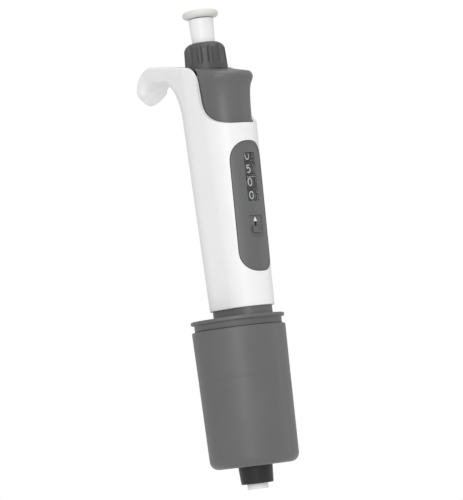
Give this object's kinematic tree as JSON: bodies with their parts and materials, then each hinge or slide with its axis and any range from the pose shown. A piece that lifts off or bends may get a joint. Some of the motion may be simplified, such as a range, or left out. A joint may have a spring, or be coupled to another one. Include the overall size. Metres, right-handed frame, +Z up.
{
  "type": "adjustable pipette",
  "caption": "Hand-held adjustable pipette: press button, fluted volume knob, counter window with lock, thumb ejector, finger hook, wide sleeve round the air cylinder and a filter nozzle.",
  "frame": {"origin": "middle of the flat end of the nozzle filter, on the pipette's axis", "axes": "+Z up the pipette's axis towards the push button, -Y the side with the display and the ejector button, +Y the side with the finger hook"},
  "size_m": [0.0484, 0.0771, 0.2487],
  "materials": {
    "grip_white": "satin white",
    "button_white": "satin warm white",
    "dark_grey": "satin dark grey",
    "lens": "clear plastic",
    "nozzle_black": "satin black",
    "filter_white": "porous white",
    "seal_rubber": "black rubber",
    "counter_black": "matt black with white figures",
    "inner_grey": "plain grey",
    "gear_acetal": "natural acetal",
    "barrel_grey": "plain grey",
    "bush_bronze": "sintered bronze",
    "steel": "turned steel"
  },
  "bodies": {
    "grip": {"handle_shell": "grip_white", "display_bezel": "dark_grey", "window_lens": "lens", "inner_frame": "inner_grey", "counter_frame": "inner_grey", "pinion_shaft": "steel", "knob_bearing": "gear_acetal", "chamber_cap": "barrel_grey", "cap_gasket": "seal_rubber", "rod_bush": "bush_bronze", "chamber_barrel": "barrel_grey", "nozzle_gasket": "seal_rubber", "nozzle_cone": "nozzle_black", "nozzle_filter": "filter_white", "nozzle_screw_1": "steel", "nozzle_screw_2": "steel", "nozzle_screw_3": "steel", "main_spring": "steel", "blowout_spring": "steel", "ejector_spring": "steel"},
    "stop_carrier": {"stop_nut": "gear_acetal"},
    "plunger": {"push_button": "button_white", "button_stem": "grip_white", "plunger_rod": "steel", "stop_collar": "steel", "piston_rod": "steel", "piston_head": "gear_acetal", "piston_seal": "seal_rubber", "piston_screw": "steel"},
    "knob": {"volume_knob": "dark_grey", "adjusting_spindle": "steel", "drive_gear": "gear_acetal", "spindle_clip": "steel"},
    "counter_drive": {"counter_shaft": "steel", "counter_gear": "gear_acetal", "drum_hundredths": "counter_black", "lock_wheel": "gear_acetal"},
    "counter_tenths": {"drum_tenths": "counter_black"},
    "counter_units": {"drum_units": "counter_black"},
    "counter_tens": {"drum_tens": "counter_black"},
    "carry_tenths": {"carry_pinion_tenths": "gear_acetal"},
    "carry_units": {"carry_pinion_units": "gear_acetal"},
    "carry_tens": {"carry_pinion_tens": "gear_acetal"},
    "ejector": {"ejector_button": "dark_grey", "ejector_yoke": "inner_grey", "ejector_rod": "steel", "spring_clip": "steel", "ejector_collar": "dark_grey", "ejector_sleeve": "dark_grey"},
    "lock": {"lock_slider": "dark_grey", "lock_pad": "seal_rubber"}
  },
  "joints": [
    {"name": "stop_follow", "type": "slide", "parent": "grip", "child": "stop_carrier", "axis": [0, 0, 1], "range_m": [-0.004, 0.005]},
    {"name": "plunger_press", "type": "slide", "parent": "stop_carrier", "child": "plunger", "axis": [0, 0, -1], "range_m": [0, 0.0078], "stiffness_N_per_m": 300, "springref_m": -0.008, "deforming": ["main_spring", "blowout_spring"]},
    {"name": "knob_turn", "type": "hinge", "parent": "grip", "child": "knob", "pos_m": [0, 0, 0.2249], "axis": [0, 0, 1], "range_deg": [-7210, 9010]},
    {"name": "counter_turn", "type": "hinge", "parent": "grip", "child": "counter_drive", "pos_m": [0, -0.014, 0.1583], "axis": [0, 0, 1], "range_deg": [-9010, 7210]},
    {"name": "tenths_turn", "type": "hinge", "parent": "grip", "child": "counter_tenths", "pos_m": [0, -0.014, 0.1549], "axis": [0, 0, 1], "range_deg": [-1810, 1450]},
    {"name": "units_turn", "type": "hinge", "parent": "grip", "child": "counter_units", "pos_m": [0, -0.014, 0.1617], "axis": [0, 0, 1], "range_deg": [-185, 149]},
    {"name": "tens_turn", "type": "hinge", "parent": "grip", "child": "counter_tens", "pos_m": [0, -0.014, 0.1685], "axis": [0, 0, 1], "range_deg": [-20, 17]},
    {"name": "carry_tenths_turn", "type": "hinge", "parent": "grip", "child": "carry_tenths", "pos_m": [0.00901, -0.0088, 0.1525], "axis": [0, 0, 1], "range_deg": [-4810, 6010]},
    {"name": "carry_units_turn", "type": "hinge", "parent": "grip", "child": "carry_units", "pos_m": [0.00901, -0.0088, 0.1593], "axis": [0, 0, 1], "range_deg": [-490, 610]},
    {"name": "carry_tens_turn", "type": "hinge", "parent": "grip", "child": "carry_tens", "pos_m": [0.00901, -0.0088, 0.1661], "axis": [0, 0, 1], "range_deg": [-53, 65]},
    {"name": "ejector_press", "type": "slide", "parent": "grip", "child": "ejector", "axis": [0, 0, -1], "range_m": [0, 0.0075], "stiffness_N_per_m": 250, "springref_m": -0.008, "deforming": ["ejector_spring"]},
    {"name": "lock_slide", "type": "slide", "parent": "grip", "child": "lock", "axis": [0, 0, 1], "range_m": [0, 0.004]}
  ],
  "couplings": [
    {"joint": "knob_turn", "follows": "stop_follow", "rad_per_m": 31416},
    {"joint": "counter_turn", "follows": "stop_follow", "rad_per_m": -31416},
    {"joint": "tenths_turn", "follows": "stop_follow", "rad_per_m": -6283.2},
    {"joint": "units_turn", "follows": "stop_follow", "rad_per_m": -628.32},
    {"joint": "tens_turn", "follows": "stop_follow", "rad_per_m": -62.832},
    {"joint": "carry_tenths_turn", "follows": "stop_follow", "rad_per_m": 20944},
    {"joint": "carry_units_turn", "follows": "stop_follow", "rad_per_m": 2094.4},
    {"joint": "carry_tens_turn", "follows": "stop_follow", "rad_per_m": 209.44}
  ]
}
